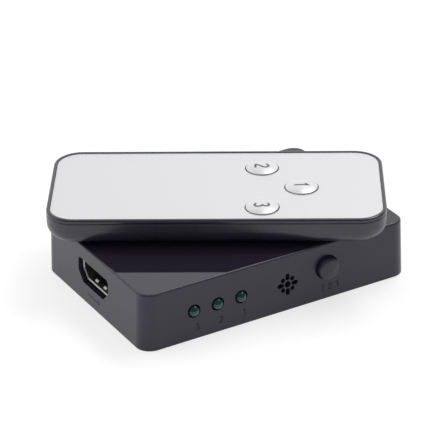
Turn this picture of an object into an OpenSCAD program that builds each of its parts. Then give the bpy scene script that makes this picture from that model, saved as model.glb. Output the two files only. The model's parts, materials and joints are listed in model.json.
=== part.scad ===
// Three-way video switch box with its slim remote control lying across the roof.
// Millimetres. The origin is the middle of the box's underside, +X runs along the front to the right,
// +Y runs from the front to the back and +Z is up.

/* [Box] */
// Length of the box along its front, at the foot
box_w = 77.9; // [76:0.1:90]
// Depth of the box from front to back, at the foot
box_d = 52.8; // [50:0.1:64]
// Height of the box
box_h = 15.5; // [15:0.1:20]
// Radius of the upright corners, at the foot
corner_r = 4; // [3:0.1:5]
// Distance that the walls lean in from the foot to the roof
side_lean = 0.5; // [0:0.1:0.8]
// Radius of the edge round the roof
roof_edge_r = 0.5; // [0.3:0.1:1]
// Radius of the edge that stands on the table
foot_edge_r = 0.3; // [0.2:0.1:0.5]
// Thickness of the case walls
wall = 1.8; // [1.5:0.1:2.2]
// Thickness of the case roof
roof = 1.6; // [1.2:0.1:2]
// Thickness of the bottom cover
cover_t = 1.6; // [1.4:0.1:2]
// Room left round a piece that is set into another
fit_gap = 0.15; // [0.1:0.05:0.25]

/* [Screws] */
// Diameter of a case screw's shank
screw_d = 2; // [1.6:0.1:2.5]
// Length of a case screw's shank
screw_len = 8; // [6:0.5:9]
// Diameter of a case screw's head
head_d = 3.6; // [3.4:0.1:4]
// Height of a case screw's head
head_h = 1.2; // [1:0.1:1.3]
// Depth of the screw heads below the underside
head_sink = 0.3; // [0.2:0.1:0.4]
// Diameter of the screw bosses and standoffs
boss_d = 5.2; // [4.8:0.1:5.6]
// Distance from the outer faces to the screw axes
boss_inset = 5.2; // [4.8:0.1:6]

/* [Circuit board] */
// Thickness of the circuit board
board_t = 1.6; // [1.2:0.1:1.8]
// Height of the board's upper face above the table
board_top = 5.85; // [5.5:0.05:6]
// Room between the board and the walls
board_gap = 0.4; // [0.3:0.05:0.6]

/* [Sockets] */
// Inside width of a socket
port_w = 14; // [13.8:0.1:14.4]
// Inside height of a socket
port_h = 4.55; // [4.4:0.05:4.8]
// Width of the flat floor between the slanted corners
port_floor_w = 10; // [9.6:0.1:10.6]
// Height of the slanted corners
port_slant = 2.1; // [1.8:0.1:2.4]
// Thickness of the socket's sheet metal
shell_t = 0.35; // [0.25:0.05:0.4]
// Length of a socket from mouth to back
port_len = 11.5; // [10.5:0.5:12.5]
// Depth of the socket mouth behind the outer face
port_recess = 1.1; // [0.9:0.1:1.3]
// Margin of the case window round the socket's inside
window_margin = 0.9; // [0.7:0.05:1.1]
// Wall left in front of the socket shells
port_web = 1; // [0.7:0.1:1]
// Width of the bevel inside the socket mouth
mouth_bevel = 0.25; // [0.1:0.05:0.3]
// Distance from the socket mouth to the tip of its tongue
tongue_recess = 2.3; // [2:0.1:2.6]
// Width of the tongue
tongue_w = 11; // [10.6:0.1:11.4]
// Thickness of the tongue
tongue_t = 1.3; // [1.1:0.1:1.5]
// Length of the insulator's back block
block_len = 3.2; // [2.6:0.2:4]
// Spacing of the contacts in one row
contact_pitch = 1; // [0.9:0.05:1.05]
// Width of a contact
contact_w = 0.4; // [0.3:0.05:0.5]
// Thickness of a contact
contact_t = 0.15; // [0.1:0.05:0.2]
// Number of contacts in the upper row, with one less in the lower row
contact_count = 10; // [8:1:10]
// Radius of the upper corners of the case window
window_r = 1; // [0.6:0.1:1.4]
// Distance from the ends of the box to the middle of the outer input sockets
input_inset = 16.95; // [16.2:0.05:18]

/* [Front] */
// Diameter of an indicator lamp
led_d = 3; // [2.8:0.1:3]
// Room between a lamp and its hole
led_gap = 0.3; // [0.1:0.05:0.35]
// Length of a lamp from its base to the tip of its dome
led_len = 5.3; // [4.8:0.1:5.8]
// Diameter of the rim at a lamp's base
led_rim_d = 3.6; // [3.4:0.1:3.8]
// Thickness of the rim at a lamp's base
led_rim_t = 1; // [0.8:0.1:1.2]
// Distance that a lamp's tip stands out of the front
led_proud = 1.1; // [0.8:0.1:1.4]
// Distance from the left end to the middle lamp
led_inset = 21.2; // [20:0.05:22]
// Height of the lamps above the board
led_z = 2; // [1.85:0.05:3.15]
// Spacing of the lamps
led_pitch = 6.75; // [6:0.05:7]
// Distance from the left end to the middle of the receiver grille
grille_inset = 41.5; // [39:0.1:43]
// Height of the receiver grille above the board
grille_z = 1.5; // [1.15:0.05:3.15]
// Radius of the grille from its middle to the end of a slot
grille_r = 3; // [2.8:0.1:3.2]
// Width of a grille slot, and the diameter of its round holes
grille_slot = 1.2; // [1:0.05:1.3]
// Diameter of the hole in the middle of the grille
grille_hole_d = 1.7; // [1.4:0.1:1.8]
// Distance from the left end to the middle of the select button
button_inset = 53.2; // [52.9:0.1:57.9]
// Height of the select button above the board
button_z = 3.05; // [2.95:0.05:3.35]
// Diameter of the select button
button_d = 6; // [5.5:0.1:6.4]
// Room between the button and its hole
button_gap = 0.3; // [0.2:0.05:0.4]
// Distance that the button stands out of the front
button_proud = 2; // [1.2:0.1:2.5]
// Radius of the edge round the button's face
button_edge_r = 0.8; // [0.3:0.1:1]
// Travel of the button
button_travel = 0.5; // [0.3:0.1:0.6]

/* [Power inlet] */
// Place of the power inlet along the right end
dc_y = 6; // [-4:0.5:8]
// Diameter of the inlet's bore
dc_bore_d = 3.6; // [3.4:0.1:4]
// Diameter of the inlet's centre pin
dc_pin_d = 1.3; // [1.1:0.1:1.5]

/* [Remote control] */
// Length of the remote
remote_l = 86; // [84:1:96]
// Width of the remote
remote_w = 39.6; // [39:0.1:46]
// Thickness of the remote without its keys
remote_h = 7.5; // [7.4:0.1:8.5]
// Radius of the remote's corners seen from above
remote_r = 7.3; // [6.5:0.1:9]
// Radius of the edge round the remote's underside
remote_low_r = 4; // [3.4:0.1:4.4]
// Radius of the edge round the remote's upper face
rim_edge_r = 0.45; // [0.2:0.05:0.5]
// Radius of the two edges that form the seam groove
seam_r = 0.2; // [0.1:0.05:0.25]
// Distance from the remote's upper face down to the seam
seam_drop = 1.1; // [1:0.05:1.3]
// Width of the rim round the face plate
rim_w = 0.95; // [0.8:0.05:1.4]
// Thickness of the face plate
plate_t = 0.4; // [0.3:0.05:0.5]
// Depth of the face plate below the rim
plate_sink = 0.2; // [0.1:0.05:0.3]
// Thickness of the remote's side walls
remote_wall = 1.4; // [1.2:0.1:1.6]
// Thickness of the remote's floor
remote_floor = 1; // [0.8:0.1:1.1]
// Place of the remote's middle along the box
remote_x = 0.13; // [-4:0.01:4]
// Place of the remote's middle across the box
remote_y = 4.17; // [0:0.01:6]
// Turn of the remote on the roof in degrees
remote_turn = -31.45; // [-40:0.05:0]

/* [Keys] */
// Diameter of a key
key_d = 8.3; // [8:0.1:9.4]
// Room between a key and its hole
key_gap = 0.3; // [0.1:0.05:0.35]
// Height of a key's crown above the face plate
key_proud = 0.85; // [0.5:0.05:1]
// Height of a key's edge above the face plate
key_step = 0.25; // [0.05:0.05:0.3]
// Travel of a key
key_travel = 0.3; // [0.2:0.05:0.3]
// Place of the two outer keys along the remote
key_u = 11.55; // [8:0.05:14]
// Distance that the middle key lies further out
key_lead = 10.1; // [9:0.1:12]
// Distance from the long sides of the remote to the outer keys, before the row's shift
key_inset = 8.7; // [7.8:0.1:9.2]
// Shift of the row's middle line towards the near side
key_shift = -1.3; // [-2:0.1:0]

/* [Battery] */
// Diameter of the coin cell
cell_d = 20; // [16:0.1:20]
// Thickness of the coin cell
cell_t = 2.5; // [1.6:0.1:2.5]
// Width of the battery tray
tray_w = 23.4; // [22.6:0.1:24]
// Room round the tray in its slot
tray_gap = 0.15; // [0.1:0.05:0.2]
// Thickness of the tray's floor
tray_floor = 0.4; // [0.3:0.05:0.5]
// Thickness of the tray's wall behind the cell
tray_wall = 1; // [0.8:0.1:1.4]

/* [Hidden] */
$fn = 48;
over = 1;

// Levels of the box
board_low = board_top - board_t;
cavity_top = box_h - roof;
head_seat = head_sink + head_h;
boss_x = box_w / 2 - boss_inset;
boss_y = box_d / 2 - boss_inset;
screw_room = 0.4;
screw_bite = 0.1;

// Parts of a socket
relief_half = port_w / 2 + shell_t + 2 * fit_gap;
relief_top = port_h + 2 * shell_t + 2 * fit_gap;
tongue_z = shell_t + port_h / 2;
block_front = port_len - block_len;
spring_w = 1.4;
spring_h = 0.45;
spring_start = 0.9;
spring_len = 3.4;
spring_flat = 1;
spring_x = 2.2;
tail_step = 0.4;

// Parts behind the front
front_y = -box_d / 2;
led_level = board_top + led_z;
grille_level = board_top + grille_z;
button_level = board_top + button_z;
led_front = front_y + lean_at(led_level) - led_proud;
button_front = front_y + lean_at(button_level) - button_proud;
led_x = led_inset - box_w / 2;
grille_x = grille_inset - box_w / 2;
button_x = button_inset - box_w / 2;
grille_web = 0.25;
lead_w = 0.5;
lead_gap = 2.54;
lead_reach = 1.6;
ir_lift = 0.6;
ir_size = [5.6, 3.2, 5.6];
ir_lens_r = 2.2;
ir_lens_z = 2.4;
ir_room = 0.3;
ir_front = front_y + wall + ir_room + ir_lens_r;
flange_over = 1;
flange_t = 0.8;
flange_room = 0.1;
button_crown = 0.25;
stem_d = 4;
stem_len = 0.9;
flange_y = front_y + wall + flange_room;
button_notch_w = button_d + 2 * (flange_over + button_gap);
button_notch_d = flange_t + button_travel + button_gap;
plunger_y = flange_y + flange_t + stem_len;
plunger_d = 3.4;
plunger_len = 3.2;
plunger_gap = 0.15;
tact_size = [6, 3.6, 6];
plunger_bare = 2.1;
tact_y = plunger_y + plunger_bare;

// Parts on the board
switch_size = [10, 10, 1.2];
switch_pitch = 0.9;
small_pitch = 1.27;
chip_lead = 1;
switch_at = [-2, 0];
control_size = [8.7, 3.9, 1.4];
control_at = [20, -4];
chip_lift = 0.1;
chip_dot_d = 0.9;
chip_dot_t = 0.15;
passive_size = [0.8, 1.6, 0.8];
passive_pitch = 4;
passive_count = 12;
passive_y = 9;
dc_size = [10, 6.4, 6.2];
dc_depth = 8;
dc_z = 3.1;
dc_rim = 0.4;

// Levels of the remote, above the roof of the box
seam_z = remote_h - seam_drop;
plate_top = remote_h - plate_sink;
deck_top = plate_top - plate_t;
remote_board_t = 0.8;
skirt_drop = 1.2;
skirt_t = 0.8;
remote_board_top = seam_z - skirt_drop;
remote_board_low = remote_board_top - remote_board_t;
cavity_low_r = remote_low_r - remote_floor;
plate_l = remote_l - 2 * rim_w;
plate_w = remote_w - 2 * rim_w;
plate_r = remote_r - rim_w;
plate_gap = 0.08;
post_d = 3;
post_end = 9;
post_inset = 3.4;
post_sink = 0.2;

// Keys
key_v = remote_w / 2 - key_inset;
key_flange_over = 0.6;
key_flange_t = 0.5;
key_flange_room = 0.1;
key_flange_top = seam_z - key_flange_room;
key_top = plate_top + key_proud;
key_crown_h = key_proud - key_step;
key_crown_r = (pow(key_d / 2, 2) + pow(key_crown_h, 2)) / (2 * key_crown_h);
dome_d = 6;
dome_room = 0.05;
dome_h = key_flange_top - key_flange_t - key_travel - remote_board_top - dome_room;
dome_r = (pow(dome_d / 2, 2) + pow(dome_h, 2)) / (2 * dome_h);

// Battery
tray_low = remote_floor + tray_gap;
cell_low = tray_low + tray_floor;
cell_top = cell_low + cell_t;
tray_top = cell_top;
tray_face = 2.4;
cell_room = 0.2;
cell_u = -remote_l / 2 + tray_face + cell_room + cell_d / 2;
tray_end = cell_u + cell_d / 2 + cell_room + tray_wall;
slot_len = remote_low_r + over;
rail_t = 0.8;
rail_h = 2;
nail_d = 1.4;
nail_w = 10;
cell_step = 1.2;
cell_step_d = cell_d - 2 * cell_step;
cell_step_h = 0.4;
spring_t = 0.15;
spring_gap = 0.05;
top_spring_w = 3;
top_spring_reach = cell_d / 3;
side_spring_w = 4;
side_room = 0.6;
side_notch_w = side_spring_w + 2 * side_room;

// Remote lamp and chip
remote_led_d = 3;
remote_led_room = 0.1;
remote_led_z = remote_board_low - remote_led_d / 2 - remote_led_room;
remote_led_len = 5;
remote_led_inset = 0.3;
remote_chip_size = [4, 5, 0.9];
remote_chip_at = [-12, 6];

// Distance that the walls have leaned in at a height
function lean_at(z) = side_lean * z / box_h;

// Rectangle with round corners, centred on the origin
module outline(w, d, r) {
    square([w - 2 * r, d], center = true);
    square([w, d - 2 * r], center = true);
    for (x = [-1, 1], y = [-1, 1])
        translate([x * (w / 2 - r), y * (d / 2 - r)])
            circle(r);
}

// Half of a slab's cross-section with a rounded upper and lower edge and a side that leans in
module edge_profile(half, h, top_r, low_r, lean) {
    top_half = half - lean;
    polygon([
        [0, 0], [half - low_r, 0], [half, low_r], [top_half, h - top_r],
        [top_half - top_r, h], [0, h]
    ]);
    intersection() {
        translate([half - low_r, low_r])
            circle(low_r);
        translate([half - low_r, 0])
            square(low_r);
    }
    intersection() {
        translate([top_half - top_r, h - top_r])
            circle(top_r);
        translate([top_half - top_r, h - top_r])
            square(top_r);
    }
}

// Straight bar along Y with the slab's cross-section
module edged_bar(length, half, h, top_r, low_r, lean) {
    rotate([90, 0, 0])
        linear_extrude(length, center = true) {
            edge_profile(half, h, top_r, low_r, lean);
            mirror([1, 0])
                edge_profile(half, h, top_r, low_r, lean);
        }
}

// Slab with round corners whose rounded edges run along the sides and turn round the corners
module edged_slab(w, d, r, h, top_r, low_r, lean = 0) {
    edged_bar(d - 2 * r, w / 2, h, top_r, low_r, lean);
    rotate(90)
        edged_bar(w - 2 * r, d / 2, h, top_r, low_r, lean);
    for (i = [0:3]) {
        corner = i % 2 == 0 ? [w / 2 - r, d / 2 - r] : [d / 2 - r, w / 2 - r];
        rotate(90 * i)
            translate(corner)
                rotate_extrude(angle = 90)
                    edge_profile(r, h, top_r, low_r, lean);
    }
}

// Extrudes an X-Z outline along Y from one depth to another
module along_y(from, to) {
    translate([0, to, 0])
        rotate([90, 0, 0])
            linear_extrude(to - from)
                children();
}

// Extrudes a Y-Z outline along X, centred on x = 0
module across_x(width) {
    rotate([90, 0, 90])
        linear_extrude(width, center = true)
            children();
}

// Block centred on the origin in plan, standing on z = 0
module block(size) {
    translate([-size[0] / 2, -size[1] / 2, 0])
        cube(size);
}

// The four screw axes
module at_screws() {
    for (x = [-1, 1], y = [-1, 1])
        translate([x * boss_x, y * boss_y, 0])
            children();
}

// Socket frame: mouth at y = 0, depth along +Y, board at z = 0. Socket 0 is the output on the left end,
// sockets 1 to 3 are the inputs on the back.
module at_socket(k) {
    mouth_in = lean_at(board_top + tongue_z) + port_recess;
    if (k == 0)
        translate([-box_w / 2 + mouth_in, 0, board_top])
            rotate(-90)
                children();
    else
        translate([(2 - k) * (box_w / 2 - input_inset), box_d / 2 - mouth_in, board_top])
            rotate(180)
                children();
}

// Socket's inside outline grown by g on every side
function port_points(g) =
    let (half = port_w / 2,
         low = port_floor_w / 2,
         run = half - low,
         slope = sqrt(pow(run, 2) + pow(port_slant, 2)),
         side = half + g,
         knee = port_slant + g * (port_slant - slope) / run,
         toe = low + g * (slope - run) / port_slant)
    [[side, port_h + g], [-side, port_h + g], [-side, knee], [-toe, -g], [toe, -g], [side, knee]];

module port_outline(g) {
    translate([0, shell_t])
        polygon(port_points(g));
}

// Case window round a socket: the socket's outline grown by a margin, with round upper corners
module window_outline() {
    width = port_w + 2 * window_margin;
    height = 2 * (port_h + window_margin);
    intersection() {
        port_outline(window_margin);
        translate([0, shell_t])
            outline(width, height, window_r);
    }
}

// Lamp frame: base at the origin, dome towards the front
module at_led(k) {
    translate([led_x + (2 - k) * led_pitch, led_front + led_len, led_level])
        children();
}

// Holes and slots of the receiver grille, as an X-Z outline about its middle
module grille_outline() {
    diagonal = 0.46 * grille_r;
    inner = grille_hole_d / 2 + grille_web + grille_slot / 2;
    outer = grille_r - grille_slot / 2;
    circle(d = grille_hole_d);
    for (i = [0:3])
        rotate(90 * i) {
            translate([diagonal, diagonal])
                circle(d = grille_slot);
            translate([inner, 0])
                circle(d = grille_slot);
            translate([outer, 0])
                circle(d = grille_slot);
            translate([inner, -grille_slot / 2])
                square([outer - inner, grille_slot]);
        }
}

// Openings through the front wall
module front_holes() {
    for (k = [1:3])
        translate([led_x + (2 - k) * led_pitch, front_y - over, led_level])
            rotate([-90, 0, 0])
                cylinder(d = led_d + 2 * led_gap, h = wall + 2 * over);
    translate([button_x, front_y - over, button_level])
        rotate([-90, 0, 0])
            cylinder(d = button_d + 2 * button_gap, h = wall + 2 * over);
    translate([grille_x, 0, grille_level])
        along_y(front_y - over, front_y + wall + over)
            grille_outline();
}

// Window for one socket, with the wall thinned behind it so that the socket can rise into place
module socket_window(k) {
    at_socket(k) {
        along_y(-port_recess - over, wall - port_recess + over)
            window_outline();
        translate([-relief_half, port_web - port_recess, -board_top - over])
            cube([2 * relief_half, wall - port_web + over, board_top + over + relief_top]);
    }
}

// Outer shell of the box with its roof, walls and screw bosses
module top_case() {
    color("#3c3b40")
        difference() {
            union() {
                difference() {
                    edged_slab(box_w, box_d, corner_r, box_h, roof_edge_r, foot_edge_r, side_lean);
                    translate([0, 0, -over])
                        linear_extrude(cavity_top + over)
                            outline(box_w - 2 * wall, box_d - 2 * wall, corner_r - wall);
                }
                at_screws()
                    translate([0, 0, board_top])
                        cylinder(d = boss_d, h = cavity_top - board_top + roof / 2);
            }
            at_screws()
                cylinder(d = screw_d + screw_bite, h = head_seat + screw_len + over);
            front_holes();
            for (k = [0:3])
                socket_window(k);
            translate([box_w / 2 + over, dc_y, board_top + dc_z])
                rotate([0, -90, 0])
                    cylinder(d = dc_bore_d + 2 * dc_rim, h = wall + 2 * over);
        }
}

// Flat cover set flush into the underside, with standoffs for the board
module bottom_cover() {
    room = wall + fit_gap;
    color("#2c2c2f")
        difference() {
            union() {
                linear_extrude(cover_t)
                    outline(box_w - 2 * room, box_d - 2 * room, corner_r - room);
                for (k = [0:3])
                    at_socket(k)
                        translate([-relief_half + fit_gap, port_web - port_recess + fit_gap, -board_top])
                            cube([2 * (relief_half - fit_gap), room, cover_t]);
                at_screws()
                    cylinder(d = boss_d, h = board_low);
            }
            at_screws() {
                translate([0, 0, -over])
                    cylinder(d = head_d + screw_room, h = head_seat + over);
                cylinder(d = screw_d + screw_room, h = board_low + over);
            }
        }
}

// Four pan-head screws with crossed slots
module case_screws() {
    slot = [head_d * 0.6, head_d / 7, head_h / 2];
    color("#a8a9ac")
        at_screws()
            difference() {
                union() {
                    translate([0, 0, head_sink])
                        cylinder(d = head_d, h = head_h);
                    translate([0, 0, head_seat])
                        cylinder(d = screw_d, h = screw_len);
                }
                for (turn = [0, 90])
                    rotate(turn)
                        translate([0, 0, head_sink - over])
                            block(slot + [0, 0, over]);
            }
}

// Circuit board clamped between the standoffs and the bosses, with a notch for the button's flange
module main_board() {
    room = wall + board_gap;
    color("#1d5b3c")
        difference() {
            translate([0, 0, board_low])
                linear_extrude(board_t)
                    outline(box_w - 2 * room, box_d - 2 * room, corner_r - wall);
            at_screws()
                cylinder(d = screw_d + screw_room, h = board_top + over);
            translate([button_x, flange_y, board_low - over])
                block([button_notch_w, 2 * button_notch_d, board_t + 2 * over]);
        }
}

// Grounding spring pressed up out of a socket's sheet metal
module socket_spring() {
    across_x(spring_w)
        polygon([
            [-shell_t / 2, -shell_t / 2], [spring_h, spring_h], [spring_h + spring_flat, spring_h],
            [spring_len, -shell_t / 2]
        ]);
}

// Wedge that opens towards the mouth of a socket and cuts the bevel of its rim
module mouth_bevel_cut() {
    hull() {
        along_y(-2 * over, -over)
            port_outline(mouth_bevel + over);
        along_y(mouth_bevel, mouth_bevel + over)
            port_outline(-over);
    }
}

// Folded metal shell of one socket
module socket_shell(k) {
    color("#c9cacc")
        at_socket(k) {
            difference() {
                along_y(0, port_len)
                    difference() {
                        port_outline(shell_t);
                        port_outline(0);
                    }
                mouth_bevel_cut();
            }
            for (x = [-spring_x, spring_x]) {
                translate([x, spring_start, shell_t])
                    socket_spring();
                translate([x, spring_start, shell_t + port_h])
                    mirror([0, 0, 1])
                        socket_spring();
            }
        }
}

// Moulded insulator of one socket: a block at the back with the contact tongue in front
module socket_insulator(k) {
    row_w = contact_count * contact_pitch;
    color("#1a1a1c")
        at_socket(k)
            difference() {
                union() {
                    along_y(block_front, port_len)
                        port_outline(-fit_gap / 3);
                    across_x(tongue_w)
                        polygon([
                            [tongue_recess + tongue_t / 4, tongue_z - tongue_t / 2],
                            [tongue_recess, tongue_z - tongue_t / 4],
                            [tongue_recess, tongue_z + tongue_t / 4],
                            [tongue_recess + tongue_t / 4, tongue_z + tongue_t / 2],
                            [block_front + over, tongue_z + tongue_t / 2],
                            [block_front + over, tongue_z - tongue_t / 2]
                        ]);
                }
                for (side = [-1, 1]) {
                    slot_z = tongue_z + side * (tongue_t + contact_t) / 2 - contact_t / 2;
                    translate([-row_w / 2, block_front - over, slot_z])
                        cube([row_w, block_len + 2 * over, contact_t]);
                }
            }
}

// One contact: a strip along the tongue and a tail down to the board
module contact(strip_z, tail_y) {
    across_x(contact_w)
        polygon([
            [tongue_recess + tongue_t / 2, strip_z], [tail_y, strip_z], [tail_y, 0],
            [tail_y - contact_t, 0], [tail_y - contact_t, strip_z - contact_t],
            [tongue_recess + tongue_t / 2, strip_z - contact_t]
        ]);
}

// Two rows of contacts on one socket's tongue
module socket_contacts(k) {
    upper = contact_count;
    lower = contact_count - 1;
    color("#c8a24a")
        at_socket(k) {
            for (i = [0:upper - 1])
                translate([(i - (upper - 1) / 2) * contact_pitch, 0, 0])
                    contact(tongue_z + tongue_t / 2 + contact_t, port_len + 2 * tail_step);
            for (i = [0:lower - 1])
                translate([(i - (lower - 1) / 2) * contact_pitch, 0, 0])
                    contact(tongue_z - tongue_t / 2, port_len + tail_step);
        }
}

// Indicator lamp: rim, barrel and dome
module led(k) {
    color("#1f3d35")
        at_led(k)
            rotate([90, 0, 0])
                rotate_extrude() {
                    square([led_rim_d / 2, led_rim_t]);
                    square([led_d / 2, led_len - led_d / 2]);
                    intersection() {
                        translate([0, led_len - led_d / 2])
                            circle(d = led_d);
                        square([led_d, led_len]);
                    }
                }
}

// Bent leads of the three lamps
module led_leads() {
    color("#b9babd")
        for (k = [1:3], x = [-1, 1])
            at_led(k)
                translate([x * lead_gap / 2, 0, 0])
                    across_x(lead_w)
                        polygon([
                            [0, lead_w / 2], [lead_reach, lead_w / 2], [lead_reach, -led_z],
                            [lead_reach - lead_w, -led_z], [lead_reach - lead_w, -lead_w / 2],
                            [0, -lead_w / 2]
                        ]);
}

// Infrared receiver behind the grille
module ir_receiver() {
    color("#17171a")
        translate([grille_x, ir_front, board_top + ir_lift]) {
            translate([0, ir_size[1] / 2, 0])
                block(ir_size);
            translate([0, 0, ir_lens_z])
                sphere(ir_lens_r);
        }
}

// Leads of the infrared receiver
module ir_receiver_leads() {
    color("#b9babd")
        for (i = [-1:1])
            translate([grille_x + i * lead_gap / 2, ir_front + ir_size[1] / 2, board_top])
                block([lead_w, lead_w, ir_lift]);
}

// Button cap with a retaining ear on each side and the stem that pushes the switch
module select_button() {
    reach = flange_y - button_front;
    color("#46454b")
        translate([button_x, flange_y, button_level]) {
            rotate([90, 0, 0])
                rotate_extrude() {
                    square([button_d / 2, reach - button_crown - button_edge_r]);
                    square([button_d / 2 - button_edge_r, reach - button_crown]);
                    translate([button_d / 2 - button_edge_r, reach - button_crown - button_edge_r])
                        circle(button_edge_r);
                    crown_half = button_d / 2 - button_edge_r;
                    crown_r = (pow(crown_half, 2) + pow(button_crown, 2)) / (2 * button_crown);
                    intersection() {
                        translate([0, reach - crown_r])
                            circle(crown_r, $fn = 240);
                        square([crown_half, reach]);
                    }
                    translate([0, -flange_t - stem_len])
                        square([stem_d / 2, stem_len + flange_t]);
                }
            along_y(0, flange_t)
                intersection() {
                    circle(button_d / 2 + flange_over);
                    square([button_d + 2 * flange_over, button_d], center = true);
                }
        }
}

// Plunger of the push switch, moved by the button
module tact_plunger() {
    color("#202024")
        translate([button_x, plunger_y, button_level])
            rotate([-90, 0, 0])
                cylinder(d = plunger_d, h = plunger_len);
}

// Push switch standing on the board, with a bore for its plunger
module tact_switch() {
    bore = plunger_len - (tact_y - plunger_y) + button_travel + plunger_gap;
    color("#2a2a2e")
        difference() {
            translate([button_x, tact_y + tact_size[1] / 2, board_top])
                block(tact_size);
            translate([button_x, tact_y - over, button_level])
                rotate([-90, 0, 0])
                    cylinder(d = plunger_d + 2 * plunger_gap, h = bore + over);
        }
}

// Flat chip with a row of leads on two or four sides
module chip(size, pitch, lead, four_sided) {
    lead_size = [pitch / 2, lead, chip_lift * 2];
    difference() {
        translate([0, 0, chip_lift])
            block(size - [0, 0, chip_lift]);
        translate([-size[0] / 2 + chip_dot_d, -size[1] / 2 + chip_dot_d, size[2] - chip_dot_t])
            cylinder(d = chip_dot_d, h = chip_dot_t + over);
    }
    for (turn = four_sided ? [0:90:270] : [0, 180]) {
        along = turn % 180 == 0 ? size[0] : size[1];
        away = turn % 180 == 0 ? size[1] : size[0];
        count = floor((along - pitch) / pitch);
        rotate(turn)
            for (i = [0:count - 1])
                translate([(i - (count - 1) / 2) * pitch, away / 2 + lead / 2 - chip_lift, 0])
                    block(lead_size);
    }
}

// Chip that switches the video lines
module switch_chip() {
    color("#19191b")
        translate([switch_at[0], switch_at[1], board_top])
            chip(switch_size, switch_pitch, chip_lead, true);
}

// Chip that reads the button and the receiver
module control_chip() {
    color("#19191b")
        translate([control_at[0], control_at[1], board_top])
            chip(control_size, small_pitch, chip_lead, false);
}

// Row of small board components between the input sockets and the switching chip
module board_passives() {
    color("#b89a6a")
        for (i = [0:passive_count - 1])
            translate([(i - (passive_count - 1) / 2) * passive_pitch, passive_y, board_top])
                block(passive_size);
}

// Power inlet frame: mouth at the inner face of the right wall, depth along -X
module at_dc() {
    translate([box_w / 2 - wall - fit_gap, dc_y, board_top])
        rotate(90)
            children();
}

// Moulded body of the power inlet
module dc_jack() {
    color("#1a1a1c")
        at_dc()
            difference() {
                translate([0, dc_size[0] / 2, 0])
                    block([dc_size[1], dc_size[0], dc_size[2]]);
                translate([0, -over, dc_z])
                    rotate([-90, 0, 0])
                        cylinder(d = dc_bore_d, h = dc_depth + over);
            }
}

// Centre pin of the power inlet
module dc_jack_pin() {
    tip_r = dc_pin_d / 2;
    color("#c9cacc")
        at_dc()
            translate([0, dc_depth, dc_z])
                rotate([90, 0, 0])
                    rotate_extrude() {
                        square([tip_r, dc_depth - over - tip_r]);
                        intersection() {
                            translate([0, dc_depth - over - tip_r])
                                circle(tip_r);
                            square([tip_r, dc_depth]);
                        }
                    }
}

// Remote's own frame: middle of its underside at the origin, its length along X
module on_remote() {
    translate([remote_x, remote_y, box_h])
        rotate(remote_turn)
            children();
}

// Places of the keys: 1 is the middle one, 2 lies on the far side and 3 on the near side
function key_place(k) = k == 1 ? [key_u + key_lead, key_shift] :
    [key_u, key_shift + (k == 2 ? key_v : -key_v)];

// Whole outer form of the remote's lower case
module remote_hull() {
    edged_slab(remote_l, remote_w, remote_r, seam_z, seam_r, remote_low_r);
}

// Lower shell of the remote, with posts for its board and rails for the battery tray
module remote_lower_case() {
    inner_l = remote_l - 2 * remote_wall;
    inner_w = remote_w - 2 * remote_wall;
    inner_r = remote_r - remote_wall;
    rail_v = tray_w / 2 + tray_gap;
    post_u = remote_l / 2 - post_end;
    post_low = remote_floor - post_sink;
    color("#2b2b2f")
        on_remote()
            difference() {
                union() {
                    difference() {
                        remote_hull();
                        translate([0, 0, remote_floor])
                            edged_slab(inner_l, inner_w, inner_r, remote_h, seam_r, cavity_low_r);
                    }
                    for (u = [-post_u, 0, post_u], side = [-1, 1])
                        translate([u, side * (remote_w / 2 - post_inset), post_low])
                            cylinder(d = post_d, h = remote_board_low - post_low);
                    for (side = [-1, 1])
                        translate([cell_u, side * (rail_v + rail_t / 2), remote_floor / 2])
                            block([cell_d, rail_t, rail_h + remote_floor / 2]);
                }
                translate([-remote_l / 2 - over, -rail_v, tray_low - tray_gap])
                    cube([slot_len + over, 2 * rail_v, tray_top - tray_low + 2 * tray_gap]);
                translate([remote_l / 2 - slot_len, 0, remote_led_z])
                    rotate([0, 90, 0])
                        cylinder(d = remote_led_d + 2 * led_gap, h = slot_len + over);
            }
}

// Upper shell of the remote: rim, deck with key holes, and a skirt inside the lower shell
module remote_upper_case() {
    skirt_l = remote_l - 2 * (remote_wall + fit_gap);
    skirt_w = remote_w - 2 * (remote_wall + fit_gap);
    skirt_r = remote_r - remote_wall - fit_gap;
    color("#232327")
        on_remote()
            difference() {
                union() {
                    translate([0, 0, seam_z])
                        edged_slab(remote_l, remote_w, remote_r, seam_drop, rim_edge_r, seam_r);
                    translate([0, 0, remote_board_top])
                        linear_extrude(skirt_drop + seam_drop / 2)
                            difference() {
                                outline(skirt_l, skirt_w, skirt_r);
                                outline(skirt_l - 2 * skirt_t, skirt_w - 2 * skirt_t, skirt_r - skirt_t);
                            }
                }
                translate([0, 0, deck_top])
                    linear_extrude(plate_t + over)
                        outline(plate_l, plate_w, plate_r);
                for (k = [1:3])
                    translate(key_place(k)) {
                        cylinder(d = key_d + 2 * key_gap, h = remote_h);
                        cylinder(d = key_d + 2 * (key_flange_over + fit_gap), h = seam_z);
                    }
            }
}

// Thin bright plate let into the upper shell
module remote_face_plate() {
    color("#dcdcde")
        on_remote()
            translate([0, 0, deck_top])
                linear_extrude(plate_t)
                    difference() {
                        outline(plate_l - 2 * plate_gap, plate_w - 2 * plate_gap, plate_r - plate_gap);
                        for (k = [1:3])
                            translate(key_place(k))
                                circle(d = key_d + 2 * key_gap);
                    }
}

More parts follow.
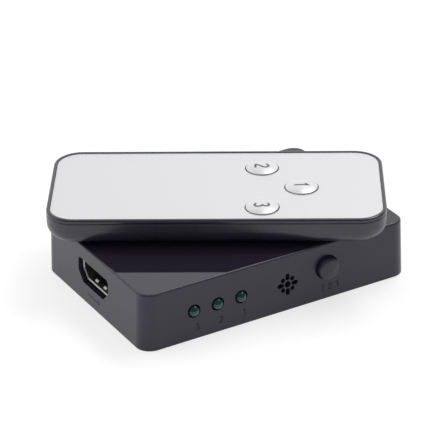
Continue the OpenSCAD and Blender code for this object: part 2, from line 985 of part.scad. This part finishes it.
// Domed key with a flange that holds it under the deck
module remote_key(k) {
    color("#dcdcde")
        on_remote()
            translate(key_place(k))
                rotate_extrude() {
                    translate([0, key_flange_top - key_flange_t])
                        square([key_d / 2 + key_flange_over, key_flange_t]);
                    translate([0, key_flange_top - key_flange_t])
                        square([key_d / 2, key_top - key_crown_h - key_flange_top + key_flange_t]);
                    intersection() {
                        translate([0, key_top - key_crown_r])
                            circle(key_crown_r, $fn = 360);
                        translate([0, key_flange_top])
                            square([key_d / 2, key_top]);
                    }
                }
}

// Circuit board of the remote, with a slot above the spring that bears on the cell
module remote_board() {
    room = remote_wall + board_gap;
    slot_w = top_spring_w + 2 * fit_gap;
    color("#1d5b3c")
        on_remote()
            translate([0, 0, remote_board_low])
                linear_extrude(remote_board_t)
                    difference() {
                        outline(remote_l - 2 * room, remote_w - 2 * room, remote_r - room);
                        translate([cell_u - fit_gap, -slot_w / 2])
                            square([top_spring_reach + fit_gap, slot_w]);
                    }
}

// Snap domes on the board under the keys
module remote_domes() {
    color("#c9cacc")
        on_remote()
            for (k = [1:3])
                translate(concat(key_place(k), remote_board_top))
                    rotate_extrude()
                        intersection() {
                            translate([0, dome_h - dome_r])
                                circle(dome_r, $fn = 360);
                            square([dome_d / 2, dome_h]);
                        }
}

// Chip of the remote
module remote_chip() {
    color("#19191b")
        on_remote()
            translate([remote_chip_at[0], remote_chip_at[1], remote_board_top])
                chip(remote_chip_size, small_pitch, chip_lead, false);
}

// Infrared lamp at the remote's front end, with leads up to its board
module remote_ir_led() {
    tip_u = remote_l / 2 - remote_led_inset;
    color("#2a2233")
        on_remote() {
            translate([tip_u - remote_led_len, 0, remote_led_z])
                rotate([0, 90, 0])
                    rotate_extrude() {
                        square([remote_led_d / 2, remote_led_len - remote_led_d / 2]);
                        intersection() {
                            translate([0, remote_led_len - remote_led_d / 2])
                                circle(d = remote_led_d);
                            square([remote_led_d, remote_led_len]);
                        }
                    }
            for (side = [-1, 1])
                translate([tip_u - remote_led_len, side * lead_gap / 4, remote_led_z])
                    block([2 * lead_w, lead_w, remote_board_low - remote_led_z]);
        }
}

// Two leaf springs on the board's underside: one over the cell, one against its edge
module remote_battery_contacts() {
    side_u = cell_u + cell_d / 2 + spring_gap;
    top_z = cell_top + spring_gap;
    color("#c9cacc")
        on_remote() {
            rotate([90, 0, 0])
                linear_extrude(top_spring_w, center = true)
                    polygon([
                        [tray_end, remote_board_low], [cell_u + top_spring_reach, remote_board_low],
                        [cell_u + cell_d / 5, top_z + spring_t], [cell_u, top_z + spring_t],
                        [cell_u, top_z], [cell_u + cell_d / 5, top_z],
                        [cell_u + top_spring_reach, remote_board_low - spring_t],
                        [tray_end, remote_board_low - spring_t]
                    ]);
            translate([side_u, -side_spring_w / 2, cell_low])
                cube([spring_t, side_spring_w, remote_board_low - spring_t / 2 - cell_low]);
        }
}

// Battery tray that pulls out of the remote's tail end
module remote_battery_tray() {
    depth = tray_top - tray_low;
    color("#2b2b2f")
        on_remote()
            difference() {
                intersection() {
                    remote_hull();
                    translate([-remote_l / 2, -tray_w / 2, tray_low])
                        cube([tray_end + remote_l / 2, tray_w, depth]);
                }
                translate([cell_u, 0, cell_low])
                    cylinder(d = cell_d + 2 * cell_room, h = depth);
                translate([cell_u, -side_notch_w / 2, cell_low])
                    cube([cell_d, side_notch_w, depth]);
                translate([-remote_l / 2 + nail_d / 2, 0, tray_low])
                    rotate([90, 0, 0])
                        cylinder(d = nail_d, h = nail_w, center = true);
            }
}

// Coin cell with its stepped lower face
module remote_coin_cell() {
    color("#c4c5c8")
        on_remote()
            translate([cell_u, 0, cell_low])
                rotate_extrude() {
                    square([cell_step_d / 2, cell_t]);
                    translate([0, cell_step_h])
                        square([cell_d / 2, cell_t - cell_step_h]);
                }
}

top_case();
bottom_cover();
case_screws();
main_board();
socket_shell(0);  // output_shell
socket_insulator(0);  // output_insulator
socket_contacts(0);  // output_contacts
socket_shell(1);  // input_1_shell
socket_insulator(1);  // input_1_insulator
socket_contacts(1);  // input_1_contacts
socket_shell(2);  // input_2_shell
socket_insulator(2);  // input_2_insulator
socket_contacts(2);  // input_2_contacts
socket_shell(3);  // input_3_shell
socket_insulator(3);  // input_3_insulator
socket_contacts(3);  // input_3_contacts
led(1);  // led_1
led(2);  // led_2
led(3);  // led_3
led_leads();
ir_receiver();
ir_receiver_leads();
select_button();
tact_plunger();
tact_switch();
switch_chip();
control_chip();
board_passives();
dc_jack();
dc_jack_pin();
remote_lower_case();
remote_upper_case();
remote_face_plate();
remote_key(1);  // remote_key_1
remote_key(2);  // remote_key_2
remote_key(3);  // remote_key_3
remote_board();
remote_domes();
remote_chip();
remote_ir_led();
remote_battery_contacts();
remote_battery_tray();
remote_coin_cell();
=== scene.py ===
"""Looks of a small video switch box with its remote control lying across the roof."""
import json
import math

import bpy
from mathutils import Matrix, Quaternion, Vector


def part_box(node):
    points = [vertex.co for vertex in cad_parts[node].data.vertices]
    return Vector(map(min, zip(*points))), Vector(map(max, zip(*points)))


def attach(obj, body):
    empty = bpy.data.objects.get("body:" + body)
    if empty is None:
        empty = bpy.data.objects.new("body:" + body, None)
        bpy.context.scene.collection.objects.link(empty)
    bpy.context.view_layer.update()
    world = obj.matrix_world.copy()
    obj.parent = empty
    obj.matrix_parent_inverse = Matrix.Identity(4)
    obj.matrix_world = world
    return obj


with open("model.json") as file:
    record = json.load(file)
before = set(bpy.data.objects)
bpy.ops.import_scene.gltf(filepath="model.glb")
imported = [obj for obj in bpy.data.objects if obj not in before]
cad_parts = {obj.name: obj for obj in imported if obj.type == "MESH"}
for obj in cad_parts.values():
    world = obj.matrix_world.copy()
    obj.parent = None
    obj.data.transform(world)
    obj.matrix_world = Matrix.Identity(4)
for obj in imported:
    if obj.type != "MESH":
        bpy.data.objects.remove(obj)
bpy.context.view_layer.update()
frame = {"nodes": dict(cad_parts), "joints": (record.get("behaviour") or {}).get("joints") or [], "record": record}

MM = 0.001
UP = Vector((0, 0, 1))
WHITE = (1, 1, 1, 1)

# Camera of the photograph, solved from the box's edges and the remote's corners
CAMERA_AZIMUTH = math.radians(-30.28)
CAMERA_ELEVATION = math.radians(27.79)
CAMERA_ROLL = math.radians(-0.78)
CAMERA_DISTANCE = 578.9 * MM
CAMERA_TARGET = Vector((-2.11, -2.16, 15.43)) * MM
CAMERA_CLIP_START = 10 * MM
FOCAL_LENGTH_PX = 2261.9
IMAGE_PX = 445
SENSOR_MM = 36.0

# Light from all round: strong from the backdrop behind the object, weak from the rest of the room
BACKDROP_LIGHT = 1.2
ROOM_LIGHT = 0.3
# Z of a direction above which the backdrop fades, and above which only the room is left
BACKDROP_FADE_Z = 0.7
BACKDROP_END_Z = 0.95
# Y of a direction in front of which the backdrop fades, and in front of which only the room is left
BACKDROP_FADE_Y = 0.3
BACKDROP_END_Y = -0.1

# Softbox
SOFTBOX_PLACE = Vector((0.47, 0.14, 0.78))
SOFTBOX_WIDTH = 0.26
SOFTBOX_LENGTH = 0.75
SOFTBOX_WATTS = 2.9

# Floor: its true colour, and what the camera and mirrors see instead, a weaker shading under a glow
FLOOR_HALF = 3.0
FLOOR_COLOUR = (0.96, 0.96, 0.96)
FLOOR_COLOUR_SEEN = (0.48, 0.48, 0.48)
FLOOR_GLOW_SEEN = 0.69

# Inputs of the box, each with a lamp, a key and printed numbers
INPUTS = (1, 2, 3)
MIDDLE_INPUT = 2

# Case: its box, the distance that its walls lean in from foot to roof, and their slope
CASE_LOW, CASE_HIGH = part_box("top_case")
WALL_LEAN = 0.5 * MM
WALL_SLOPE = WALL_LEAN / (CASE_HIGH.z - CASE_LOW.z)

# Crown of a key
KEY_DIAMETER = 8.3 * MM
KEY_CROWN_HEIGHT = 0.6 * MM

# Prints: how far the ink stands out and reaches in, and the least cosine that a corner is mitred by
PRINT_LIFT = 0.006 * MM
PRINT_SINK = 0.05 * MM
LEAST_MITRE = 0.5
# Sides of a stroke's section, each between two of its corners
SECTION_SIDES = ((0, 1), (1, 2), (2, 3), (3, 0))

# Numbers on the keys, where a step is the longest straight stretch of a stroke
KEY_DIGIT_HEIGHT = 3.85 * MM
KEY_DIGIT_STROKE = 0.57 * MM
KEY_DIGIT_STEP = 0.4 * MM

# Numbers on the front wall, below the lamps and the button
WALL_DIGIT_HEIGHT = 1.9 * MM
WALL_DIGIT_STROKE = 0.3 * MM
WALL_DIGIT_STEP = 1 * MM
WALL_DIGIT_Z = 3.3 * MM
WALL_DIGIT_SHIFT = 0.8 * MM
BUTTON_DIGIT_PITCH = 2.1 * MM

# Arrow on the left wall, below the output socket
ARROW_HALF = 3.2 * MM
ARROW_HEAD = ARROW_HALF / 4
ARROW_STROKE = 0.35 * MM
ARROW_STEP = 2 * MM
ARROW_Z = 3.0 * MM

# Band that most values of a noise lie in
NOISE_BAND = (0.3, 0.7)

# Moulded plastic: size and strength of its colour drift, and how uneven its sheen is
PLASTIC_DRIFT_SIZE = 6 * MM
PLASTIC_DRIFT = 0.18
PLASTIC_SHEEN_DRIFT = 0.12
# Size and depth of its grain, from rough to smooth
ROUGH_GRAIN = (0.5 * MM, 0.015 * MM)
PLAIN_GRAIN = (0.3 * MM, 0.006 * MM)
SATIN_GRAIN = (0.22 * MM, 0.004 * MM)
POLISHED_GRAIN = (0.4 * MM, 0.001 * MM)
INK_GRAIN = (0.1 * MM, 0.001 * MM)

# Case moulding: dark and light tones of walls and roof, and the normal's Z from walls to roof
CASE_WALL_TONES = ((0.037, 0.033, 0.054), (0.043, 0.039, 0.062))
CASE_ROOF_TONES = ((0.019, 0.0155, 0.03), (0.022, 0.0185, 0.033))
CASE_ROOF_Z = (0.96, 0.995)
CASE_DRIFT_SIZE = 8 * MM
CASE_GRAIN_SIZE = 0.22 * MM
CASE_GRAIN_DEPTH = 0.005 * MM
CASE_WALL_ROUGHNESS = (0.27, 0.35)
CASE_ROOF_ROUGHNESS = (0.025, 0.045)
CASE_HAZE_SIZE = 1.5 * MM
CASE_HAZE_BAND = (0.35, 0.75)
CASE_GLOSS = 0.41

# Bright metal: its faint marks, and how uneven its polish is
METAL_MARK_SIZE = 0.4 * MM
METAL_MARK_DEPTH = 0.002 * MM
METAL_MARK_TONE = 0.9
METAL_POLISH_DRIFT = 0.2

# Silver lacquer: its flakes and its coat
FLAKE_SIZE = 0.12 * MM
FLAKE_BAND = (0.25, 0.75)
FLAKE_TONE = 0.965
FLAKE_ROUGHNESS = 0.08
LACQUER_METALLIC = 0.35
LACQUER_COAT = 0.15
LACQUER_COAT_ROUGHNESS = 0.12

# Clear resin: the clouds in its body and its uneven skin
RESIN_CLOUD_SIZE = 1.2 * MM
RESIN_SKIN_SIZE = 0.5 * MM
RESIN_SKIN_ROUGHNESS = (0.03, 0.06)

# Lamps: dark and light tones of the body, and a pale colour painted where the normal's Z falls, as painted bounce
# light inside the lens
LAMP_TONES = ((0.001, 0.021, 0.02), (0.003, 0.036, 0.034))
LAMP_PAINTED_BOUNCE = (0.022, 0.075, 0.08)
LAMP_PAINTED_BOUNCE_Z = (0.15, -0.5)
LAMP_SPECULAR_TINT = (0.35, 0.85, 0.85, 1)
LAMP_COAT = 0.5

# Circuit board: tones of its ground and traces, and the noise over which one turns into the other
BOARD_TONES = ((0.008, 0.07, 0.035), (0.014, 0.11, 0.055))
BOARD_TRACE_SIZE = 1 * MM
BOARD_TRACE_BAND = (0.46, 0.5)
BOARD_TRACE_DEPTH = 0.02 * MM
BOARD_ROUGHNESS = (0.25, 0.4)

# Two inputs and the output of a Mix node, by what it mixes
MIX_SOCKETS = {"FLOAT": (2, 3, 0), "RGBA": (6, 7, 2)}


# Shader nodes

def new_material(name):
    """Node material with one Principled shader."""
    material = bpy.data.materials.new(name)
    material.use_nodes = True
    tree = material.node_tree
    return material, tree, tree.nodes["Principled BSDF"]


def set_input(tree, socket, value):
    """Links an output to a socket, or writes a constant on it."""
    if isinstance(value, bpy.types.NodeSocket):
        tree.links.new(value, socket)
    else:
        socket.default_value = value


def set_inputs(tree, node, **values):
    """Sets a node's inputs by name, underscores standing for spaces."""
    for key, value in values.items():
        set_input(tree, node.inputs[key.replace("_", " ")], value)


def add_node(tree, kind, **values):
    """New shader node with its inputs set by name."""
    node = tree.nodes.new(kind)
    set_inputs(tree, node, **values)
    return node


def combine(tree, operation, first, second):
    """Number that a Math node makes of two outputs."""
    node = tree.nodes.new("ShaderNodeMath")
    node.operation = operation
    tree.links.new(first, node.inputs[0])
    tree.links.new(second, node.inputs[1])
    return node.outputs[0]


def mix(tree, kind, factor, first, second):
    """Runs from the first to the second with the factor, for numbers or colours."""
    node = tree.nodes.new("ShaderNodeMix")
    node.data_type = kind
    start, end, result = MIX_SOCKETS[kind]
    set_inputs(tree, node, Factor=factor)
    set_input(tree, node.inputs[start], first)
    set_input(tree, node.inputs[end], second)
    return node.outputs[result]


def between(tree, factor, first, second):
    """Colour that runs from the first to the second with the factor."""
    ends = [end if isinstance(end, bpy.types.NodeSocket) else (*end, 1) for end in (first, second)]
    return mix(tree, "RGBA", factor, *ends)


def remap(tree, value, low, high, to_low=0.0, to_high=1.0):
    """Clamped linear map of one value range onto another."""
    node = add_node(tree, "ShaderNodeMapRange", Value=value, From_Min=low, From_Max=high,
                    To_Min=to_low, To_Max=to_high)
    return node.outputs["Result"]


def noise(tree, size, detail=2.0):
    """Noise between 0 and 1 whose features are about the given size in metres."""
    place = add_node(tree, "ShaderNodeTexCoord").outputs["Object"]
    node = add_node(tree, "ShaderNodeTexNoise", Vector=place, Scale=1 / size, Detail=detail)
    return node.outputs["Fac"]


def vary(tree, grain, low, high):
    """Number that runs from low to high as a noise runs over its usual band."""
    return remap(tree, grain, *NOISE_BAND, low, high)


def add_bump(tree, shader, height, depth, strength=1.0):
    """Small relief of the given depth in metres."""
    bump = add_node(tree, "ShaderNodeBump", Height=height, Strength=strength, Distance=depth)
    set_inputs(tree, shader, Normal=bump.outputs["Normal"])


def normal_z(tree):
    """Z of the surface's normal: 1 on level tops, 0 on walls and -1 underneath."""
    normal = add_node(tree, "ShaderNodeNewGeometry").outputs["Normal"]
    return add_node(tree, "ShaderNodeSeparateXYZ", Vector=normal).outputs["Z"]


# Materials

def toned(rgb, factor):
    """A colour made darker or lighter."""
    return tuple(c * factor for c in rgb)


def plastic(name, rgb, roughness, grain=PLAIN_GRAIN, gloss=0.5):
    """Moulded plastic: fine grain, faint colour drift and uneven sheen."""
    material, tree, shader = new_material(name)
    size, depth = grain
    drift = noise(tree, PLASTIC_DRIFT_SIZE, detail=3.0)
    colour = between(tree, drift, toned(rgb, 1 - PLASTIC_DRIFT), toned(rgb, 1 + PLASTIC_DRIFT))
    fine = noise(tree, size)
    sheen = vary(tree, fine, roughness * (1 - PLASTIC_SHEEN_DRIFT), roughness * (1 + PLASTIC_SHEEN_DRIFT))
    set_inputs(tree, shader, Base_Color=colour, Roughness=sheen, Specular_IOR_Level=gloss)
    add_bump(tree, shader, fine, depth)
    return material


def case_plastic(name):
    """Case moulding: polished roof, fine satin walls."""
    material, tree, shader = new_material(name)
    roof = remap(tree, normal_z(tree), *CASE_ROOF_Z)
    drift = noise(tree, CASE_DRIFT_SIZE, detail=3.0)
    wall_colour = between(tree, drift, *CASE_WALL_TONES)
    roof_colour = between(tree, drift, *CASE_ROOF_TONES)
    fine = noise(tree, CASE_GRAIN_SIZE)
    haze = noise(tree, CASE_HAZE_SIZE, detail=4.0)
    wall_sheen = vary(tree, fine, *CASE_WALL_ROUGHNESS)
    roof_sheen = remap(tree, haze, *CASE_HAZE_BAND, *CASE_ROOF_ROUGHNESS)
    set_inputs(tree, shader, Base_Color=between(tree, roof, wall_colour, roof_colour),
               Roughness=mix(tree, "FLOAT", roof, wall_sheen, roof_sheen), Specular_IOR_Level=CASE_GLOSS)
    add_bump(tree, shader, fine, CASE_GRAIN_DEPTH, strength=remap(tree, roof, 0.0, 1.0, 1.0, 0.0))
    return material


def metal(name, rgb, roughness):
    """Bright metal with faint marks and uneven polish."""
    material, tree, shader = new_material(name)
    marks = noise(tree, METAL_MARK_SIZE, detail=4.0)
    colour = between(tree, marks, toned(rgb, METAL_MARK_TONE), rgb)
    polish = vary(tree, noise(tree, METAL_MARK_SIZE), roughness * (1 - METAL_POLISH_DRIFT),
                  roughness * (1 + METAL_POLISH_DRIFT))
    set_inputs(tree, shader, Base_Color=colour, Metallic=1.0, Roughness=polish)
    add_bump(tree, shader, marks, METAL_MARK_DEPTH)
    return material


def silver_paint(name, rgb, roughness):
    """Silver lacquer: fine flakes under a satin coat."""
    material, tree, shader = new_material(name)
    flakes = noise(tree, FLAKE_SIZE, detail=1.0)
    colour = between(tree, remap(tree, flakes, *FLAKE_BAND), toned(rgb, FLAKE_TONE), rgb)
    sheen = vary(tree, flakes, roughness, roughness + FLAKE_ROUGHNESS)
    set_inputs(tree, shader, Base_Color=colour, Metallic=LACQUER_METALLIC, Roughness=sheen,
               Coat_Weight=LACQUER_COAT, Coat_Roughness=LACQUER_COAT_ROUGHNESS)
    return material


def resin_body(tree, deep, light):
    """Cloudy colour in the depth of clear resin."""
    return between(tree, noise(tree, RESIN_CLOUD_SIZE), deep, light)


def resin_skin(tree):
    """Roughness of a wet-looking skin."""
    return vary(tree, noise(tree, RESIN_SKIN_SIZE), *RESIN_SKIN_ROUGHNESS)


def dark_resin(name, deep, light):
    """Resin that only infrared light passes, nearly black to the eye."""
    material, tree, shader = new_material(name)
    set_inputs(tree, shader, Base_Color=resin_body(tree, deep, light), Roughness=resin_skin(tree))
    return material


def lamp_resin(name):
    """Green lamp resin: deep colour above, and below it a pale colour painted in as bounce light inside the lens.
    """
    material, tree, shader = new_material(name)
    # Painted bounce light: the colour turns pale where the normal points down, in place of the light that the lens
    # gathers there
    low = remap(tree, normal_z(tree), *LAMP_PAINTED_BOUNCE_Z)
    colour = between(tree, low, resin_body(tree, *LAMP_TONES), LAMP_PAINTED_BOUNCE)
    set_inputs(tree, shader, Base_Color=colour, Roughness=resin_skin(tree),
               Specular_Tint=LAMP_SPECULAR_TINT, Coat_Weight=LAMP_COAT)
    return material


def laminate(name):
    """Solder-masked circuit board with faint traces."""
    material, tree, shader = new_material(name)
    weave = noise(tree, BOARD_TRACE_SIZE)
    traces = remap(tree, weave, *BOARD_TRACE_BAND)
    set_inputs(tree, shader, Base_Color=between(tree, traces, *BOARD_TONES),
               Roughness=vary(tree, weave, *BOARD_ROUGHNESS))
    add_bump(tree, shader, traces, BOARD_TRACE_DEPTH)
    return material


MATERIALS = {
    "case_black": case_plastic("case_black"),
    "cover_black": plastic("cover_black", (0.016, 0.016, 0.018), 0.5, ROUGH_GRAIN),
    "screw_steel": metal("screw_steel", (0.55, 0.55, 0.56), 0.3),
    "board_green": laminate("board_green"),
    "socket_steel": metal("socket_steel", (0.36, 0.36, 0.37), 0.34),
    "insulator_black": plastic("insulator_black", (0.012, 0.012, 0.013), 0.45),
    "contact_gold": metal("contact_gold", (0.85, 0.6, 0.24), 0.22),
    "lamp_green": lamp_resin("lamp_green"),
    "lead_tin": metal("lead_tin", (0.66, 0.66, 0.67), 0.35),
    "receiver_black": dark_resin("receiver_black", (0.004, 0.003, 0.005), (0.01, 0.008, 0.012)),
    "button_grey": plastic("button_grey", (0.03, 0.027, 0.047), 0.4, SATIN_GRAIN),
    "switch_black": plastic("switch_black", (0.014, 0.014, 0.015), 0.45),
    "chip_black": plastic("chip_black", (0.012, 0.012, 0.013), 0.5),
    "passive_tan": plastic("passive_tan", (0.42, 0.3, 0.17), 0.45),
    "remote_black": plastic("remote_black", (0.031, 0.029, 0.047), 0.3, SATIN_GRAIN, gloss=0.65),
    "remote_rim_black": plastic("remote_rim_black", (0.023, 0.021, 0.034), 0.16, POLISHED_GRAIN, gloss=0.6),
    "plate_silver": silver_paint("plate_silver", (0.76, 0.76, 0.775), 0.34),
    "key_silver": silver_paint("key_silver", (0.755, 0.755, 0.77), 0.3),
    "spring_steel": metal("spring_steel", (0.6, 0.6, 0.61), 0.25),
    "remote_lamp": dark_resin("remote_lamp", (0.012, 0.008, 0.02), (0.03, 0.02, 0.045)),
    "cell_steel": metal("cell_steel", (0.66, 0.66, 0.67), 0.25),
}
INK_GREY = plastic("ink_grey", (0.085, 0.085, 0.09), 0.5, INK_GRAIN)
INK_BLACK = plastic("ink_black", (0.004, 0.004, 0.006), 0.45, INK_GRAIN, gloss=0.2)


def dress_nodes():
    """Gives each node the material of its slot."""
    for part in frame["record"]["subparts"]:
        mesh = frame["nodes"][part["node"]].data
        mesh.materials.clear()
        mesh.materials.append(MATERIALS[part["material_slot"]])


# Strokes of the prints

def arc(centre, radius, start, end, steps=16):
    """Points along an arc between two angles in degrees."""
    angles = [math.radians(start + (end - start) * i / steps) for i in range(steps + 1)]
    return [(centre[0] + radius * math.cos(a), centre[1] + radius * math.sin(a)) for a in angles]


# Strokes of the numbers on a height of 1, and the middle that they are set about
DIGIT_MIDDLE = (0.3, 0.5)
DIGITS = {
    1: [[(0.12, 0.74), (0.34, 0.96), (0.34, 0.0)]],
    2: [arc((0.3, 0.69), 0.25, 165, -32) + [(0.06, 0.06), (0.58, 0.06)]],
    3: [arc((0.28, 0.73), 0.22, 150, -88), arc((0.28, 0.27), 0.26, 88, -150)],
}


def digit_strokes(number, height, shift=0.0):
    """A number's strokes at its real height, shifted sideways from the middle."""
    return [
        [(shift + (x - DIGIT_MIDDLE[0]) * height, (y - DIGIT_MIDDLE[1]) * height) for x, y in stroke]
        for stroke in DIGITS[number]
    ]


def split_line(points, longest):
    """Points of a line with its long stretches divided."""
    fine = [Vector(points[0])]
    for start, end in zip(points, points[1:]):
        start, end = Vector(start), Vector(end)
        count = max(1, math.ceil((end - start).length / longest))
        fine += [start.lerp(end, (i + 1) / count) for i in range(count)]
    return fine


def sides_of(points, half):
    """Pairs of points on both sides of a line, mitred at its corners."""
    ways = [(end - start).normalized() for start, end in zip(points, points[1:])]
    pairs = []
    for point, before, after in zip(points, ways[:1] + ways, ways + ways[-1:]):
        along = (before + after).normalized()
        mitre = half / max(LEAST_MITRE, along.dot(after))
        across = Vector((-along.y, along.x)) * mitre
        pairs.append((point + across, point - across))
    return pairs


def stroke_mesh(name, strokes, width, step, surface):
    """Closed mesh of thin strokes on a surface, which turns a flat point and a lift into a place."""
    corners = len(SECTION_SIDES)
    vertices, faces = [], []
    for stroke in strokes:
        first = len(vertices)
        for left, right in sides_of(split_line(stroke, step), width / 2):
            vertices += [surface(left, PRINT_LIFT), surface(right, PRINT_LIFT)]
            vertices += [surface(right, -PRINT_SINK), surface(left, -PRINT_SINK)]
        last = len(vertices) - corners
        for a in range(first, last, corners):
            b = a + corners
            faces += [(a + i, a + j, b + j, b + i) for i, j in SECTION_SIDES]
        faces += [tuple(reversed(range(first, first + corners))), tuple(range(last, last + corners))]
    mesh = bpy.data.meshes.new(name)
    mesh.from_pydata(vertices, [], faces)
    return mesh


# Surfaces that carry prints

def middle_of(node):
    """Middle of a node's box."""
    low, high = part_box(node)
    return (low + high) / 2


def remote_axes():
    """Directions along the remote to its front end and across it to its far side."""
    slide = next(j for j in frame["joints"] if j["name"] == "drawer_slide")
    along = -Vector(slide["axis"]).normalized()
    return along, UP.cross(along)


def key_surface(node):
    """Crown of a key as a surface: numbers read with their tops towards the remote's front end."""
    along, across = remote_axes()
    radius = ((KEY_DIAMETER / 2) ** 2 + KEY_CROWN_HEIGHT ** 2) / (2 * KEY_CROWN_HEIGHT)
    centre = middle_of(node)
    centre.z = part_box(node)[1].z - radius

    def place(point, lift):
        flat = along * point[1] - across * point[0]
        rise = math.sqrt(radius ** 2 - flat.length_squared)
        return centre + (flat + UP * rise) * (1 + lift / radius)

    return place


def wall_surface(middle, across, outward):
    """Leaning case wall as a surface about a point, with flat points that run across it and up."""
    def place(point, lift):
        spot = middle + across * point[0] + UP * point[1]
        return spot + outward * (lift - WALL_SLOPE * spot.z)

    return place


def front_surface(x, z):
    """Front wall as a surface about one place on it."""
    return wall_surface(Vector((x, CASE_LOW.y, z)), Vector((1, 0, 0)), Vector((0, -1, 0)))


def left_surface(y, z):
    """Left wall as a surface about one place on it."""
    return wall_surface(Vector((CASE_LOW.x, y, z)), Vector((0, -1, 0)), Vector((-1, 0, 0)))


# Printed numbers and marks

def add_object(name, data):
    """New object in the scene."""
    thing = bpy.data.objects.new(name, data)
    bpy.context.scene.collection.objects.link(thing)
    return thing


def add_print(mesh, ink, body):
    """Print as a piece of its own that moves with a body."""
    mesh.materials.append(ink)
    piece = add_object(mesh.name, mesh)
    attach(piece, body)


def add_key_number(number):
    """Number on a key."""
    strokes = digit_strokes(number, KEY_DIGIT_HEIGHT)
    surface = key_surface(f"remote_key_{number}")
    mesh = stroke_mesh(f"key_number_{number}", strokes, KEY_DIGIT_STROKE, KEY_DIGIT_STEP, surface)
    add_print(mesh, INK_GREY, f"key_{number}")


def add_wall_numbers(name, strokes, node):
    """Numbers on the front wall, below a node that shows there."""
    surface = front_surface(middle_of(node).x + WALL_DIGIT_SHIFT, WALL_DIGIT_Z)
    mesh = stroke_mesh(name, strokes, WALL_DIGIT_STROKE, WALL_DIGIT_STEP, surface)
    add_print(mesh, INK_BLACK, "box")


def add_numbers():
    """Numbers on the keys, below the lamps and in a row below the button."""
    row = []
    for number in INPUTS:
        add_key_number(number)
        add_wall_numbers(f"lamp_number_{number}", digit_strokes(number, WALL_DIGIT_HEIGHT), f"led_{number}")
        row += digit_strokes(number, WALL_DIGIT_HEIGHT, (number - MIDDLE_INPUT) * BUTTON_DIGIT_PITCH)
    add_wall_numbers("button_numbers", row, "select_button")


def add_arrow():
    """Arrow below the output socket."""
    shaft = [(-ARROW_HALF, 0), (ARROW_HALF, 0)]
    barb = ARROW_HALF - ARROW_HEAD
    head = [(barb, ARROW_HEAD), (ARROW_HALF, 0), (barb, -ARROW_HEAD)]
    surface = left_surface(middle_of("output_shell").y, ARROW_Z)
    mesh = stroke_mesh("output_arrow", [shaft, head], ARROW_STROKE, ARROW_STEP, surface)
    add_print(mesh, INK_BLACK, "box")


# Camera and studio

def add_camera():
    """Camera at the photograph's place, with its small tilt about the view axis."""
    a, e = CAMERA_AZIMUTH, CAMERA_ELEVATION
    back = Vector((math.sin(a) * math.cos(e), -math.cos(a) * math.cos(e), math.sin(e)))
    data = bpy.data.cameras.new("camera")
    data.sensor_fit = "HORIZONTAL"
    data.sensor_width = SENSOR_MM
    data.lens = FOCAL_LENGTH_PX / IMAGE_PX * SENSOR_MM
    data.clip_start = CAMERA_CLIP_START
    camera = add_object("camera", data)
    camera.location = CAMERA_TARGET + back * CAMERA_DISTANCE
    camera.rotation_mode = "QUATERNION"
    turn = (-back).to_track_quat("-Z", "Y")
    turn.rotate(Quaternion(back, CAMERA_ROLL))
    camera.rotation_quaternion = turn
    bpy.context.scene.camera = camera


def seen_directly(tree):
    """1 for rays from the camera, and for mirror and glass rays, so that they meet the same floor."""
    path = add_node(tree, "ShaderNodeLightPath").outputs
    mirrored = combine(tree, "MAXIMUM", path["Is Glossy Ray"], path["Is Transmission Ray"])
    return combine(tree, "MAXIMUM", path["Is Camera Ray"], mirrored)


def floor_white():
    """Matte white, which the camera and mirrors see with faint shadows under a glow of its own."""
    material, tree, shader = new_material("floor_white")
    tree.nodes.remove(shader)
    seen = seen_directly(tree)
    colour = between(tree, seen, FLOOR_COLOUR, FLOOR_COLOUR_SEEN)
    matte = add_node(tree, "ShaderNodeBsdfDiffuse", Color=colour)
    strength = remap(tree, seen, 0.0, 1.0, 0.0, FLOOR_GLOW_SEEN)
    glow = add_node(tree, "ShaderNodeEmission", Color=WHITE, Strength=strength)
    both = tree.nodes.new("ShaderNodeAddShader")
    tree.links.new(matte.outputs[0], both.inputs[0])
    tree.links.new(glow.outputs[0], both.inputs[1])
    set_inputs(tree, tree.nodes["Material Output"], Surface=both.outputs[0])
    return material


def add_floor():
    """White table that the box stands on."""
    h = FLOOR_HALF
    mesh = bpy.data.meshes.new("floor")
    mesh.from_pydata([(-h, -h, 0), (h, -h, 0), (h, h, 0), (-h, h, 0)], [], [(0, 1, 2, 3)])
    mesh.materials.append(floor_white())
    floor = add_object("floor", mesh)


def add_world():
    """White backdrop behind the object, in a room that is dim above it and in front."""
    world = bpy.data.worlds.new("studio")
    bpy.context.scene.world = world
    world.use_nodes = True
    tree = world.node_tree
    direction = add_node(tree, "ShaderNodeTexCoord").outputs["Generated"]
    axes = add_node(tree, "ShaderNodeSeparateXYZ", Vector=direction).outputs
    low = remap(tree, axes["Z"], BACKDROP_FADE_Z, BACKDROP_END_Z, 1.0, 0.0)
    behind = remap(tree, axes["Y"], BACKDROP_END_Y, BACKDROP_FADE_Y)
    share = combine(tree, "MULTIPLY", low, behind)
    light = remap(tree, share, 0.0, 1.0, ROOM_LIGHT, BACKDROP_LIGHT)
    set_inputs(tree, tree.nodes["Background"], Color=WHITE, Strength=light)


def add_softbox():
    """Long softbox high on the right of the object, which runs from its front to its back."""
    data = bpy.data.lights.new("soft_lamp", "AREA")
    data.shape = "RECTANGLE"
    data.size = SOFTBOX_LENGTH
    data.size_y = SOFTBOX_WIDTH
    data.energy = SOFTBOX_WATTS
    lamp = add_object("soft_lamp", data)
    lamp.location = SOFTBOX_PLACE
    lamp.rotation_mode = "QUATERNION"
    lamp.rotation_quaternion = Vector((-SOFTBOX_PLACE.x, 0, -SOFTBOX_PLACE.z)).to_track_quat("-Z", "Y")


dress_nodes()
add_numbers()
add_arrow()
add_camera()
add_floor()
add_world()
add_softbox()
bpy.context.scene.view_settings.view_transform = "Standard"
